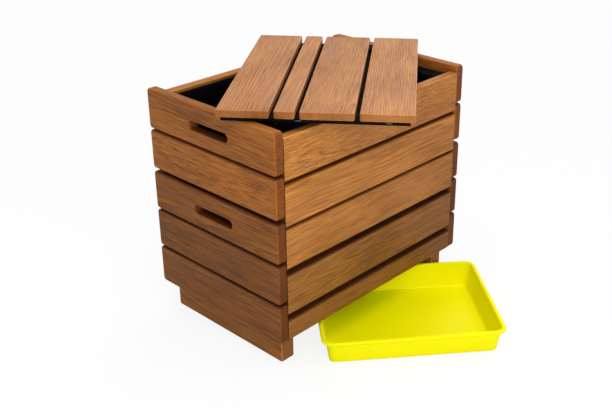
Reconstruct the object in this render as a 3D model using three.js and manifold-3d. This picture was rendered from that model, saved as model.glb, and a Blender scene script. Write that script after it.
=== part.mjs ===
// Slatted wooden wormery: two stacking modules on a plinth, a lid laid askew on top and a
// liquid tray half drawn out from under the long side.
// Millimetres, +Z up. X runs along the box, -Y is the side where the tray comes out.

import * as THREE from "three";
import { mergeVertices } from "three/addons/utils/BufferGeometryUtils.js";
import Module from "manifold-3d";

const wasm = await Module();
wasm.setup();

// Box, outside
const boxLength = 600;
const boxDepth = 398;
const bayHeight = 67;

// End slats, which cover the ends of the long slats
const slatThickness = 23;
const slatHeight = 91;
const slatGap = 3.5;
const slatEdgeRadius = 4;
const slatCornerRounding = 4;
const lowerRows = 3;
const upperRows = 2;
const moduleGap = 7.5;

// Long slats, which hang lower than the end slats so that the modules lock together
const skirtHeight = 48;
const skirtLift = 1;
const lowerLongGap = 13.75;
const upperLongGap = 6;
const interlock = 17.5;
const moduleSeat = 3.2;
const lidRecess = 15.2;

// Clearance between pieces that are screwed, stapled or rested on each other
const fitGap = 0.3;

// Corner posts and plinth boards, of one timber
const frameThickness = 36;
const plinthHeight = 90;
const plinthEdgeRadius = 4;

// Floors: ledgers along the long sides, and slats across them with gaps between
const ledgerHeight = 25;
const ledgerThickness = 20;
const ledgerLift = 2;
const floorSlats = 6;
const floorSlatThickness = 12;
const floorGap = 10;

// Liners
const linerThickness = 1.2;
const linerDrop = 8;

// Hand slots
const slotLength = 122;
const slotHeight = 20;
const slotLevelShare = 0.47;

// Lid, which lies between the end slats when it is closed
const lidEndClearance = 8.5;
const lidSideClearance = 6;
const lidSlatThickness = 16;
const lidEdgeRadius = 3;
const lidCornerRounding = 1.5;
const lidFirstWidth = 103;
const lidNarrowWidth = 40;
const lidGap = 10;
const lidBattenWidth = 40;
const lidBattenHeight = 7;
const lidSheetThickness = 1;
const lidSheetInset = 5;
const lidSheetSideInset = 9;
const lidTurn = THREE.MathUtils.degToRad(38);
const lidPlaceX = -1.5;
const lidPlaceY = -53.9;

// Tray, and where it stands half drawn out
const trayEndClearance = 38.5;
const traySideClearance = 41.5;
const trayHeadroom = 7;
const trayRimWidth = 8;
const trayRimHeight = 7;
const trayWall = 2.2;
const trayTaper = 9;
const trayRimCorner = 24;
const trayFloorCorner = 13;
const trayFootRadius = 4;
const trayTurn = THREE.MathUtils.degToRad(-40.2);
const trayPlaceX = 23.1;
const trayOut = 64.6;

// Fineness of the round stretches
const edgeSteps = 3;
const cornerSteps = 2;
const slotSteps = 8;
const trayCornerSteps = 6;
const quarterTurn = Math.PI / 2;

// Levels and reaches worked out from the sizes above
const rowPitch = slatHeight + slatGap;
const lowerTop = bayHeight + lowerRows * rowPitch - slatGap;
const upperBottom = lowerTop + moduleGap;
const boxTop = upperBottom + upperRows * rowPitch - slatGap;
const skirtBottom = bayHeight + skirtLift;
const lowerLongTop = lowerTop - interlock;
const upperLongBottom = lowerLongTop + moduleSeat;
const upperLongTop = boxTop - lidRecess;
const innerLength = boxLength - 2 * slatThickness;
const innerDepth = boxDepth - 2 * slatThickness;
const postReachX = innerLength / 2 - fitGap;
const postReachY = innerDepth / 2 - fitGap;
const bayLength = innerLength - 2 * (frameThickness + fitGap);
const overrun = slatThickness;

// Finishes, as sRGB colours
const finishes = {
  end_slat: { color: 0xa5673c, roughness: 0.62 },
  long_slat: { color: 0xb07440, roughness: 0.6 },
  lid_slat: { color: 0xc28e63, roughness: 0.62 },
  frame_timber: { color: 0x9f6a3f, roughness: 0.7 },
  plinth: { color: 0xa96b3a, roughness: 0.65 },
  liner: { color: 0x101113, roughness: 0.85 },
  tray: { color: 0xf2ee06, roughness: 0.35 },
};

const lowerModule = new THREE.Group();
const upperModule = new THREE.Group();
const lid = new THREE.Group();
const tray = new THREE.Group();

function addPiece(group, name, finish, geometry, x, y, z) {
  const material = new THREE.MeshStandardMaterial({ ...finishes[finish], metalness: 0 });
  const piece = new THREE.Mesh(geometry, material);
  piece.name = name;
  piece.position.set(x, y, z);
  group.add(piece);
  return piece;
}

// Rectangle with round corners, centred on the origin
function roundedRectangle(width, height, radius) {
  const x = width / 2;
  const y = height / 2;
  const shape = new THREE.Shape();
  shape.absarc(x - radius, y - radius, radius, 0, quarterTurn);
  shape.absarc(radius - x, y - radius, radius, quarterTurn, 2 * quarterTurn);
  shape.absarc(radius - x, radius - y, radius, 2 * quarterTurn, 3 * quarterTurn);
  shape.absarc(x - radius, radius - y, radius, 3 * quarterTurn, 4 * quarterTurn);
  return shape;
}

function rectangle(width, height) {
  const shape = new THREE.Shape();
  shape.moveTo(-width / 2, -height / 2);
  shape.lineTo(width / 2, -height / 2);
  shape.lineTo(width / 2, height / 2);
  shape.lineTo(-width / 2, height / 2);
  shape.closePath();
  return shape;
}

function box(x, y, z) {
  return new THREE.BoxGeometry(x, y, z);
}

// Board with every edge rounded: length on X, height on Y, thickness on Z, centred.
// Seen square on, its corners have the radius of its edges and cornerRounding more.
function roundedBoard(length, height, thickness, edgeRadius, cornerRounding) {
  const outline = roundedRectangle(length, height, edgeRadius + cornerRounding);
  const geometry = new THREE.ExtrudeGeometry(outline, {
    depth: thickness - 2 * edgeRadius,
    curveSegments: cornerSteps,
    bevelThickness: edgeRadius,
    bevelSize: edgeRadius,
    bevelOffset: -edgeRadius,
    bevelSegments: edgeSteps,
  });
  return geometry.translate(0, 0, edgeRadius - thickness / 2);
}

// Board with four rounded long edges and square ends, along X, centred
function squareEndedBoard(length, height, thickness, edgeRadius) {
  const section = roundedRectangle(thickness, height, edgeRadius);
  const geometry = new THREE.ExtrudeGeometry(section, {
    depth: length,
    curveSegments: edgeSteps,
    bevelEnabled: false,
  });
  geometry.translate(0, 0, -length / 2);
  return geometry.rotateX(quarterTurn).rotateZ(quarterTurn);
}

function toSolid(geometry) {
  const bare = geometry.clone();
  bare.deleteAttribute("normal");
  bare.deleteAttribute("uv");
  const merged = mergeVertices(bare);
  const mesh = new wasm.Mesh({
    numProp: 3,
    vertProperties: new Float32Array(merged.attributes.position.array),
    triVerts: new Uint32Array(merged.index.array),
  });
  return new wasm.Manifold(mesh);
}

function toGeometry(solid) {
  const mesh = solid.getMesh();
  const geometry = new THREE.BufferGeometry();
  geometry.setAttribute("position", new THREE.BufferAttribute(mesh.vertProperties, 3));
  geometry.setIndex(new THREE.BufferAttribute(mesh.triVerts, 1));
  geometry.computeVertexNormals();
  return geometry;
}

function cut(geometry, cutter) {
  return toGeometry(toSolid(geometry).subtract(toSolid(cutter)));
}

// End slat: its length on Y and its thickness on X
function endSlat(withSlot) {
  let board = roundedBoard(boxDepth, slatHeight, slatThickness, slatEdgeRadius, slatCornerRounding);
  if (withSlot) {
    const outline = roundedRectangle(slotLength, slotHeight, slotHeight / 2);
    const cutter = new THREE.ExtrudeGeometry(outline, {
      depth: slatThickness + 2 * overrun,
      curveSegments: slotSteps,
      bevelEnabled: false,
    });
    cutter.translate(0, (slotLevelShare - 1 / 2) * slatHeight, -slatThickness / 2 - overrun);
    board = cut(board, cutter);
  }
  return board.rotateX(quarterTurn).rotateZ(quarterTurn);
}

// Rows of slats round one module; the top row's end slats have the hand slots
function addSlats(group, prefix, rows, endBottom, longLevels) {
  for (let row = 0; row < rows; row += 1) {
    const slotted = row === rows - 1;
    const z = endBottom + row * rowPitch + slatHeight / 2;
    for (const [side, sign] of [["left", -1], ["right", 1]]) {
      const x = sign * (boxLength - slatThickness) / 2;
      addPiece(group, `${prefix}_end_slat_${side}_${row + 1}`, "end_slat", endSlat(slotted), x, 0, z);
    }
  }
  longLevels.forEach(([bottom, top], row) => {
    const length = innerLength - 2 * fitGap;
    for (const [side, sign] of [["front", -1], ["back", 1]]) {
      const slat = squareEndedBoard(length, top - bottom, slatThickness, slatEdgeRadius);
      const y = sign * (boxDepth - slatThickness) / 2;
      const name = `${prefix}_long_slat_${side}_${row + 1}`;
      addPiece(group, name, "long_slat", slat, 0, y, (bottom + top) / 2);
    }
  });
}

function addPosts(group, prefix, bottom, top) {
  for (const [end, signX] of [["left", -1], ["right", 1]]) {
    for (const [side, signY] of [["front", -1], ["back", 1]]) {
      const post = box(frameThickness, frameThickness, top - bottom);
      const x = signX * (postReachX - frameThickness / 2);
      const y = signY * (postReachY - frameThickness / 2);
      addPiece(group, `${prefix}_post_${end}_${side}`, "frame_timber", post, x, y, (bottom + top) / 2);
    }
  }
}

// Floor of one module, from the level of its ledgers up; gives the level of its upper face
function addFloor(group, prefix, ledgerBottom) {
  const length = bayLength - 2 * fitGap;
  for (const [side, sign] of [["front", -1], ["back", 1]]) {
    const y = sign * (postReachY - ledgerThickness / 2);
    const z = ledgerBottom + ledgerHeight / 2;
    const ledger = box(length, ledgerThickness, ledgerHeight);
    addPiece(group, `${prefix}_ledger_${side}`, "frame_timber", ledger, 0, y, z);
  }
  const slatBottom = ledgerBottom + ledgerHeight + fitGap;
  const slatWidth = (length - (floorSlats - 1) * floorGap) / floorSlats;
  for (let index = 0; index < floorSlats; index += 1) {
    const slat = box(slatWidth, 2 * postReachY, floorSlatThickness);
    const x = (index - (floorSlats - 1) / 2) * (slatWidth + floorGap);
    const z = slatBottom + floorSlatThickness / 2;
    addPiece(group, `${prefix}_floor_slat_${index + 1}`, "frame_timber", slat, x, 0, z);
  }
  return slatBottom + floorSlatThickness;
}

// Four-sided liner, hung inside the posts, with a flap at its top out to each end slat
function addLiner(group, prefix, bottom, top, flapDepth) {
  const length = bayLength - 2 * fitGap;
  const depth = innerDepth - 2 * fitGap;
  const outline = rectangle(length, depth);
  outline.holes.push(rectangle(length - 2 * linerThickness, depth - 2 * linerThickness));
  let liner = toSolid(new THREE.ExtrudeGeometry(outline, { depth: top - bottom, bevelEnabled: false }));
  const root = length / 2 - linerThickness;
  for (const sign of [-1, 1]) {
    const flap = box(postReachX - root, flapDepth, linerThickness);
    flap.translate(sign * (postReachX + root) / 2, 0, top - bottom - linerThickness / 2);
    liner = liner.add(toSolid(flap));
  }
  addPiece(group, `${prefix}_liner`, "liner", toGeometry(liner), 0, 0, bottom);
}

// Lower module, on its plinth boards
const lowerLongHeight = (lowerLongTop - skirtBottom - skirtHeight) / 2 - lowerLongGap;
const secondRowBottom = skirtBottom + skirtHeight + lowerLongGap;
addSlats(lowerModule, "lower", lowerRows, bayHeight, [
  [skirtBottom, skirtBottom + skirtHeight],
  [secondRowBottom, secondRowBottom + lowerLongHeight],
  [lowerLongTop - lowerLongHeight, lowerLongTop],
]);
for (const [side, sign] of [["left", -1], ["right", 1]]) {
  const depth = 2 * postReachY;
  const board = roundedBoard(depth, plinthHeight, frameThickness, plinthEdgeRadius, slatCornerRounding);
  board.rotateX(quarterTurn).rotateZ(quarterTurn);
  const x = sign * (postReachX - frameThickness / 2);
  addPiece(lowerModule, `plinth_board_${side}`, "plinth", board, x, 0, plinthHeight / 2);
}
addPosts(lowerModule, "lower", plinthHeight + fitGap, lowerTop);
const lowerFloorTop = addFloor(lowerModule, "lower", skirtBottom + ledgerLift);
const betweenPosts = 2 * (postReachY - frameThickness - fitGap);
addLiner(lowerModule, "lower", lowerFloorTop + fitGap, lowerLongTop - linerDrop, betweenPosts);

// Upper module, whose posts stand on the posts of the lower one and end under the liner's flaps
const upperLongHeight = (upperLongTop - upperLongBottom - upperLongGap) / 2;
const upperLinerTop = upperLongTop - linerDrop;
addSlats(upperModule, "upper", upperRows, upperBottom, [
  [upperLongBottom, upperLongBottom + upperLongHeight],
  [upperLongTop - upperLongHeight, upperLongTop],
]);
addPosts(upperModule, "upper", lowerTop + fitGap, upperLinerTop - linerThickness - fitGap);
const upperFloorTop = addFloor(upperModule, "upper", upperLongBottom + ledgerLift);
addLiner(upperModule, "upper", upperFloorTop + fitGap, upperLinerTop, 2 * postReachY);

// Lid: its slats run along its own X; its underside is at its own zero
const lidLength = innerLength - 2 * lidEndClearance;
const lidDepth = boxDepth - 2 * lidSideClearance;
const lidWideWidth = (lidDepth - lidFirstWidth - lidNarrowWidth - 3 * lidGap) / 2;
const lidSlatBottom = lidSheetThickness + lidBattenHeight + 2 * fitGap;
let lidSlatEdge = lidDepth / 2;
[lidFirstWidth, lidNarrowWidth, lidWideWidth, lidWideWidth].forEach((width, index) => {
  const slat = roundedBoard(lidLength, width, lidSlatThickness, lidEdgeRadius, lidCornerRounding);
  const z = lidSlatBottom + lidSlatThickness / 2;
  addPiece(lid, `lid_slat_${index + 1}`, "lid_slat", slat, 0, lidSlatEdge - width / 2, z);
  lidSlatEdge -= width + lidGap;
});
const lidSheetLength = lidLength - 2 * lidSheetInset;
const lidSheetDepth = lidDepth - 2 * lidSheetSideInset;
const lidBattenReach = lidSheetLength / 2 - lidSheetThickness - fitGap;
for (const [side, sign] of [["near", -1], ["far", 1]]) {
  const batten = box(lidBattenWidth, lidSheetDepth, lidBattenHeight);
  const x = sign * (lidBattenReach - lidBattenWidth / 2);
  const z = lidSheetThickness + fitGap + lidBattenHeight / 2;
  addPiece(lid, `lid_batten_${side}`, "frame_timber", batten, x, 0, z);
}

// Black sheet under the battens, turned up over their outer edges as far as the slats
const sheetReach = lidSheetLength / 2;
const sheetTop = lidSlatBottom - fitGap;
const sheetProfile = new THREE.Shape();
sheetProfile.moveTo(-sheetReach, 0);
sheetProfile.lineTo(sheetReach, 0);
sheetProfile.lineTo(sheetReach, sheetTop);
sheetProfile.lineTo(sheetReach - lidSheetThickness, sheetTop);
sheetProfile.lineTo(sheetReach - lidSheetThickness, lidSheetThickness);
sheetProfile.lineTo(lidSheetThickness - sheetReach, lidSheetThickness);
sheetProfile.lineTo(lidSheetThickness - sheetReach, sheetTop);
sheetProfile.lineTo(-sheetReach, sheetTop);
sheetProfile.closePath();
const lidSheet = new THREE.ExtrudeGeometry(sheetProfile, { depth: lidSheetDepth, bevelEnabled: false });
lidSheet.translate(0, 0, -lidSheetDepth / 2);
addPiece(lid, "lid_sheet", "liner", lidSheet.rotateX(quarterTurn), 0, 0, 0);

lid.position.set(lidPlaceX, lidPlaceY, boxTop + fitGap);
lid.rotation.z = lidTurn;

// One ring of a tray wall: a rounded rectangle at one level
function trayRing(halfLength, halfDepth, radius, level) {
  const ring = [];
  const centres = [[1, 1], [-1, 1], [-1, -1], [1, -1]];
  centres.forEach(([signX, signY], corner) => {
    for (let step = 0; step <= trayCornerSteps; step += 1) {
      const angle = (corner + step / trayCornerSteps) * quarterTurn;
      const x = signX * (halfLength - radius) + radius * Math.cos(angle);
      const y = signY * (halfDepth - radius) + radius * Math.sin(angle);
      ring.push([x, y, level]);
    }
  });
  return ring;
}

// Closed skin through a list of rings, with a flat cap on the first and the last
function skin(rings) {
  const count = rings[0].length;
  const points = rings.flat();
  const faces = [];
  for (let ring = 0; ring + 1 < rings.length; ring += 1) {
    for (let step = 0; step < count; step += 1) {
      const next = (step + 1) % count;
      const a = ring * count + step;
      const b = ring * count + next;
      faces.push(a, b, b + count, a, b + count, a + count);
    }
  }
  const last = points.length - count;
  for (let step = 1; step + 1 < count; step += 1) {
    faces.push(0, step + 1, step);
    faces.push(last, last + step, last + step + 1);
  }
  const geometry = new THREE.BufferGeometry();
  geometry.setAttribute("position", new THREE.Float32BufferAttribute(points.flat(), 3));
  geometry.setIndex(faces);
  geometry.computeVertexNormals();
  return geometry;
}

// Tray: up the outer wall, round the rim and down the inner wall
const trayReachX = bayLength / 2 - trayEndClearance;
const trayReachY = boxDepth / 2 - traySideClearance;
const trayHeight = bayHeight - trayHeadroom;
const rimCurl = trayRimHeight / 3;
const trayProfile = [
  [trayRimWidth + trayTaper + trayFootRadius, 0],
  [trayRimWidth + trayTaper, trayFootRadius],
  [trayRimWidth, trayHeight - trayRimHeight],
  [0, trayHeight - trayRimHeight],
  [0, trayHeight - rimCurl],
  [rimCurl, trayHeight],
  [trayRimWidth + trayWall - rimCurl, trayHeight],
  [trayRimWidth + trayWall, trayHeight - rimCurl],
  [trayRimWidth + trayTaper + trayWall, trayWall + trayFootRadius],
  [trayRimWidth + trayTaper + trayWall + trayFootRadius, trayWall],
];
const cornerShrink = (trayRimCorner - trayFloorCorner) / (trayRimWidth + trayTaper + trayFootRadius);
const trayRings = trayProfile.map(([inset, level]) => {
  return trayRing(trayReachX - inset, trayReachY - inset, trayRimCorner - inset * cornerShrink, level);
});
addPiece(tray, "tray", "tray", skin(trayRings), 0, 0, 0);
tray.position.set(trayPlaceX, -boxDepth / 2 - trayOut, 0);
tray.rotation.z = trayTurn;

// The origin is under the middle of everything, at the level of the ground
const wormery = new THREE.Group();
wormery.add(lowerModule, upperModule, lid, tray);
const reach = new THREE.Box3().setFromObject(wormery, true);
const middle = reach.getCenter(new THREE.Vector3());
wormery.position.set(-middle.x, -middle.y, -reach.min.z);

export default wormery;
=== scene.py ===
"""Slatted wooden wormery: its boards, liners, lid and tray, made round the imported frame.

Everything is in metres. +X runs along the box, -Y is the side where the tray comes out, +Z is up.
"""

import math
import random

import bmesh
import bpy
from mathutils import Matrix, Vector, noise


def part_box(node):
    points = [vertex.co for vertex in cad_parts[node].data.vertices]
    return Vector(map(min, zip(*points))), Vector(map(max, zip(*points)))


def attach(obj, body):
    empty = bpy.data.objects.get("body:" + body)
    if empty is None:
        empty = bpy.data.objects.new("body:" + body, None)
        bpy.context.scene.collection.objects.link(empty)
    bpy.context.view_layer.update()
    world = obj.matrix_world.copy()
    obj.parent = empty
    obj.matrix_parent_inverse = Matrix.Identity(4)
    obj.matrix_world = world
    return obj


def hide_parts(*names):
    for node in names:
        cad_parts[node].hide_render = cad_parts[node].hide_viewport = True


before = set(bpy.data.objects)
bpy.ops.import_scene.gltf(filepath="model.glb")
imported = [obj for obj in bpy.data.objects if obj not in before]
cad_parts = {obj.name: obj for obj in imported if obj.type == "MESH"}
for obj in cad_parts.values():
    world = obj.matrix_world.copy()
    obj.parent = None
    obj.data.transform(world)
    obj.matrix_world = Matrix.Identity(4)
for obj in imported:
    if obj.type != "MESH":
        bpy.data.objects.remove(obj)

bl_info = {
    "name": "Wormery",
    "version": (1, 0, 0),
    "blender": (4, 5, 0),
    "location": "View3D > Sidebar > Wormery",
    "description": "Makes a slatted wooden wormery of two modules, with its lid, liners and tray",
    "category": "Object",
}

# How many rows of slats each module has
MODULES = {"lower": 3, "upper": 2}
ENDS = ("left", "right")
SIDES = ("front", "back")
FLOOR_SLATS = 6

# Room that a sheet leaves to the timbers and staples beside it
FIT_GAP = 0.0003
# Points closer than this are one
SAME_PLACE = 1e-6

# How many steps the bends and rounds of the meshes have
EDGE_STEPS = 6
CORNER_STEPS = 6
TRAY_CORNER_STEPS = 10
WIRE_STEPS = 8
SCREW_STEPS = 24

PHOTO_WIDTH = 612
PHOTO_HEIGHT = 408
SENSOR_WIDTH = 36.0
TURN = 2 * math.pi
WHITE = (1.0, 1.0, 1.0, 1.0)


def srgb(red, green, blue):
    """Linear colour of three sRGB bytes."""
    values = [byte / 255 for byte in (red, green, blue)]
    return tuple(v / 12.92 if v <= 0.04045 else ((v + 0.055) / 1.055) ** 2.4 for v in values)


def length(name, description, default):
    return bpy.props.FloatProperty(
        name=name, description=description, default=default, min=0, unit="LENGTH", precision=4
    )


def angle(name, description, degrees):
    return bpy.props.FloatProperty(
        name=name, description=description, default=math.radians(degrees), unit="ROTATION"
    )


def amount(name, description, default, top=10.0):
    return bpy.props.FloatProperty(
        name=name, description=description, default=default, min=0, max=top
    )


def colour(name, description, default):
    return bpy.props.FloatVectorProperty(
        name=name, description=description, default=default, size=3, subtype="COLOR", min=0, max=1
    )


def direction(name, description, default):
    return bpy.props.FloatVectorProperty(
        name=name, description=description, default=default, size=3, subtype="DIRECTION"
    )


class BoardSettings(bpy.types.PropertyGroup):
    """Roundings, slots and screws of the boards."""

    slat_edge: length("Slat edge", "Radius of the slats' rounded edges", 0.004)
    slat_corner: length("Slat corner", "Radius of the end slats' corners", 0.008)
    lid_edge: length("Lid edge", "Radius of the lid slats' rounded edges", 0.002)
    lid_corner: length("Lid corner", "Radius of the lid slats' corners", 0.0045)
    plinth_edge: length("Plinth edge", "Radius of the plinth boards' edges", 0.004)
    plinth_corner: length("Plinth corner", "Radius of the plinth boards' corners", 0.006)
    arris: length("Arris", "Width of the taken-off sharpness of a sawn edge", 0.0006)
    slot_length: length("Slot length", "Length of a hand slot", 0.122)
    slot_height: length("Slot height", "Height of a hand slot", 0.020)
    slot_edge: length("Slot edge", "Radius of the edge of a hand slot", 0.0015)
    slot_level: amount("Slot level", "Height of the slot, as a share of its slat", 0.47, 1.0)
    lid_turn: angle("Lid turn", "How far the lid is turned on the box", 38.0)
    screw_head: length("Screw head", "Radius of a floor screw's head", 0.004)


class WoodSettings(bpy.types.PropertyGroup):
    """Stain and grain of the timber."""

    # The end slats' stain is darker and redder than the long slats': painted shade of the ends on
    # the same stain
    end_stain_and_shade: colour("End slats", "Stain of the end slats", srgb(160, 97, 38))
    long_colour: colour("Long slats", "Stain of the long slats", srgb(177, 116, 57))
    # The lid's stain is paler and bluer than the long slats': partly painted reflection on its top
    lid_stain_and_sheen: colour("Lid slats", "Stain of the lid slats", srgb(184, 127, 83))
    plinth_colour: colour("Plinth", "Stain of the plinth boards", srgb(176, 114, 56))
    frame_colour: colour("Frame timbers", "Stain of the posts and ledgers", srgb(120, 76, 44))
    # Painted shade: the slatted floors are near black, so that the inside of the box reads dark
    floor_colour: colour("Floor slats", "Stain of the slatted floors", srgb(30, 23, 19))
    batten_colour: colour("Battens", "Stain of the battens under the lid", srgb(16, 12, 10))
    ring_width: length("Ring width", "Distance from one growth ring to the next", 0.0047)
    ring_depth: amount("Ring depth", "How much darker the late wood of a ring is", 0.34, 1.0)
    streak_depth: amount("Streak depth", "How strongly the grain streaks show", 1.0)
    end_streaks: amount("End streaks", "Share of the streak depth on the end slats", 1.15)
    long_streaks: amount("Long streaks", "Share of the streak depth on the long slats", 0.85)
    lid_streaks: amount("Lid streaks", "Share of the streak depth on the lid", 0.6)
    end_grain: colour("End grain", "Share of the stain on end grain", (0.56, 0.46, 0.40))
    lid_end_grain: colour("Lid's end grain", "The same on the lid slats", (0.72, 0.60, 0.38))
    # Painted shade: how much of the stain is left between two rows and inside the hand slots
    painted_shade: colour("Groove", "Share of the stain between two rows", (0.32, 0.24, 0.14))
    relief: length("Relief", "Height of the raised grain", 0.00035)
    roughness: amount("Roughness", "Roughness of the stained wood", 0.55, 1.0)
    sheen: amount("Sheen", "How strongly the stained wood reflects", 0.15, 1.0)


class ClothSettings(bpy.types.PropertyGroup):
    """Woven black sheet of the liners and of the lid, and its staples."""

    colour: colour("Cloth", "Colour of the woven sheet", srgb(9, 9, 9))
    tape: length("Tape", "Width of one woven tape", 0.0024)
    relief: length("Relief", "Height of the weave", 0.0003)
    sheen: amount("Sheen", "How strongly the sheet reflects", 0.04, 1.0)
    thickness: length("Thickness", "Thickness of the sheet", 0.0007)
    ripple: length("Ripple", "Height of the liners' ripples between staples", 0.0016)
    swell: length("Swell", "How far the lid's sheet stands up into the lid", 0.0028)
    staple: length("Staple", "Width of a staple across its crown", 0.0125)
    wire: length("Wire", "Thickness of the staples' wire", 0.0009)
    wire_colour: colour("Bare steel", "Colour of lid staples and screws", srgb(150, 151, 152))
    black_colour: colour("Black steel", "Colour of the liners' staples", srgb(30, 30, 31))


class TraySettings(bpy.types.PropertyGroup):
    """Moulded tray."""

    colour: colour("Tray", "Colour of the plastic", srgb(240, 227, 0))
    # Painted light: the plastic emits light of its own, standing in for its fluorescence, which
    # lifts its shade and turns it greener
    glow: colour("Glow", "Colour that the fluorescent plastic gives back", srgb(175, 250, 0))
    painted_glow_strength: amount("Glow strength", "How strongly the plastic glows", 0.09)
    sheen: amount("Sheen", "How strongly the plastic reflects", 0.07, 1.0)
    turn: angle("Turn", "How far the tray is turned on the ground", -40.2)
    rim_width: length("Rim width", "How far the rolled rim stands out from the wall", 0.008)
    rim_height: length("Rim height", "Height of the rolled rim", 0.007)
    wall: length("Wall", "Thickness of the plastic", 0.0022)
    taper: length("Taper", "How far the wall leans in from rim to floor", 0.009)
    rim_corner: length("Rim corner", "Radius of the rim's corners", 0.024)
    floor_corner: length("Floor corner", "Radius of the corners at the floor", 0.010)
    foot: length("Foot", "Radius between wall and floor, outside", 0.004)
    inner_foot: length("Inner foot", "Radius between wall and floor, inside", 0.005)


class StageSettings(bpy.types.PropertyGroup):
    """Camera and studio light."""

    azimuth: angle("Azimuth", "Direction of the camera round the box", -47.741)
    elevation: angle("Elevation", "Height angle of the camera", 24.23)
    roll: angle("Roll", "Roll of the camera", 0.253)
    place: bpy.props.FloatVectorProperty(
        name="Place",
        description="Where the camera stands",
        default=(-1.3697, -1.24226, 1.1646),
        size=3,
        subtype="TRANSLATION",
        unit="LENGTH",
    )
    focal: amount("Focal length", "Focal length in pixels of the photograph", 907.04, 5000.0)
    middle_x: amount("Middle across", "Pixel column that the lens points at", 350.0, 1000.0)
    middle_y: amount("Middle down", "Pixel row that the lens points at", 176.0, 1000.0)
    fill: amount("Fill", "Strength of the light from all round", 0.22)
    key: amount("Key", "Power of the main lamp, in watts", 10.5, 1000.0)
    key_size: length("Key size", "Side of the main lamp", 0.85)
    key_reach: length("Key reach", "Distance of the main lamp from the near corner", 1.2)
    key_way: direction("Key way", "Direction of the main lamp", (-0.40, -0.91, 0.45))
    top: amount("Top", "Strength of the light from above", 2.1)
    top_way: direction("Top way", "Direction of the light from above", (0.04, 0.04, 1.0))
    top_spread: angle("Top spread", "How wide the light from above is", 72)
    side: amount("Side", "Strength of the light on the far end", 0.8)
    side_way: direction("Side way", "Direction of the light on the far end", (1.0, 0.3, 0.4))
    side_spread: angle("Side spread", "How wide the light on the far end is", 40)
    floor_colour: colour("Floor", "Colour of the floor", (0.9, 0.9, 0.9))
    floor_share: amount("Floor share", "How far the floor is seen as plain white", 0.85, 1.0)
    floor_reach: length("Floor reach", "Half the side of the floor", 30.0)


class WormerySettings(bpy.types.PropertyGroup):
    """All settings of the wormery."""

    boards: bpy.props.PointerProperty(type=BoardSettings)
    wood: bpy.props.PointerProperty(type=WoodSettings)
    cloth: bpy.props.PointerProperty(type=ClothSettings)
    tray: bpy.props.PointerProperty(type=TraySettings)
    stage: bpy.props.PointerProperty(type=StageSettings)


class Wire:
    """An output of a node. Operators on numbers add their Math nodes."""

    def __init__(self, nodes, socket):
        self.nodes = nodes
        self.socket = socket

    def math(self, operation, *others):
        return self.nodes.math(operation, self, *others)

    def __add__(self, other):
        return self.math("ADD", other)

    def __radd__(self, other):
        return self.nodes.math("ADD", other, self)

    def __sub__(self, other):
        return self.math("SUBTRACT", other)

    def __rsub__(self, other):
        return self.nodes.math("SUBTRACT", other, self)

    def __mul__(self, other):
        return self.math("MULTIPLY", other)

    def __rmul__(self, other):
        return self.nodes.math("MULTIPLY", other, self)

    def __truediv__(self, other):
        return self.math("DIVIDE", other)

    def __rtruediv__(self, other):
        return self.nodes.math("DIVIDE", other, self)

    def __pow__(self, other):
        return self.math("POWER", other)

    def __rpow__(self, other):
        return self.nodes.math("POWER", other, self)


class Nodes:
    """The node tree of one material or world."""

    def __init__(self, tree):
        self.tree = tree
        tree.nodes.clear()

    def node(self, kind, settings=None, sockets=None, output=0):
        """Adds a node, its settings first and then its sockets, and gives one of its outputs."""
        node = self.tree.nodes.new(kind)
        for name, value in (settings or {}).items():
            setattr(node, name, value)
        for key, value in (sockets or {}).items():
            if isinstance(value, Wire):
                self.tree.links.new(value.socket, node.inputs[key])
            else:
                node.inputs[key].default_value = value
        return Wire(self, node.outputs[output]) if node.outputs else None

    def math(self, operation, *values):
        return self.node("ShaderNodeMath", {"operation": operation}, dict(enumerate(values)))

    def multiply(self, first, second):
        """Multiplies two colours or vectors."""
        return self.node("ShaderNodeVectorMath", {"operation": "MULTIPLY"}, {0: first, 1: second})

    def mix(self, factor, first, second):
        """Mixes two colours."""
        settings = {"data_type": "RGBA", "clamp_factor": True}
        return self.node("ShaderNodeMix", settings, {0: factor, 6: first, 7: second}, 2)

    def attribute(self, name, output="Fac"):
        return self.node("ShaderNodeAttribute", {"attribute_name": name}, output=output)

    def split(self, place):
        parts = self.node("ShaderNodeSeparateXYZ", sockets={0: place})
        return [Wire(self, socket) for socket in parts.socket.node.outputs]

    def noise(self, place, waves, detail=2.0):
        """Noise about 0, from -0.5 to 0.5, with so many waves in a metre along each axis."""
        sockets = {"Vector": self.multiply(place, waves), "Scale": 1.0, "Detail": detail}
        return self.node("ShaderNodeTexNoise", sockets=sockets) - 0.5

    def bump(self, height, distance):
        return self.node("ShaderNodeBump", sockets={"Height": height, "Distance": distance})

    def surface(self, **sockets):
        """Ends the tree in one Principled surface."""
        named = {name.replace("_", " "): value for name, value in sockets.items()}
        shader = self.node("ShaderNodeBsdfPrincipled", sockets=named)
        self.node("ShaderNodeOutputMaterial", sockets={"Surface": shader})


def finish_nodes(name):
    """A new material and its empty tree."""
    material = bpy.data.materials.new(name)
    material.use_nodes = True
    return material, Nodes(material.node_tree)


def finish(name, maker, *values):
    """The material of that name, made the first time that it is asked for."""
    own_name = "wormery_" + name
    return bpy.data.materials.get(own_name) or maker(own_name, *values)


def shaded(rgb, red, green, blue):
    """An opaque colour with each channel multiplied."""
    return tuple(min(1.0, part * share) for part, share in zip(rgb, (red, green, blue))) + (1.0,)


def opaque(rgb, share=1.0):
    return shaded(rgb, share, share, share)


# Noise in the log: waves in a metre along the grain and across it, and detail
LOG_NOISE = {
    "wander": (2.6, 11.0, 2.0),
    "cloud": (4.5, 13.0, 2.0),
    "blush": (6.0, 21.0, 3.0),
    "streak": (1.6, 75.0, 3.0),
    "line": (9.0, 360.0, 2.0),
    "fibre": (20.0, 850.0, 2.0),
    "pores": (45.0, 1900.0, 2.0),
}
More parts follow.
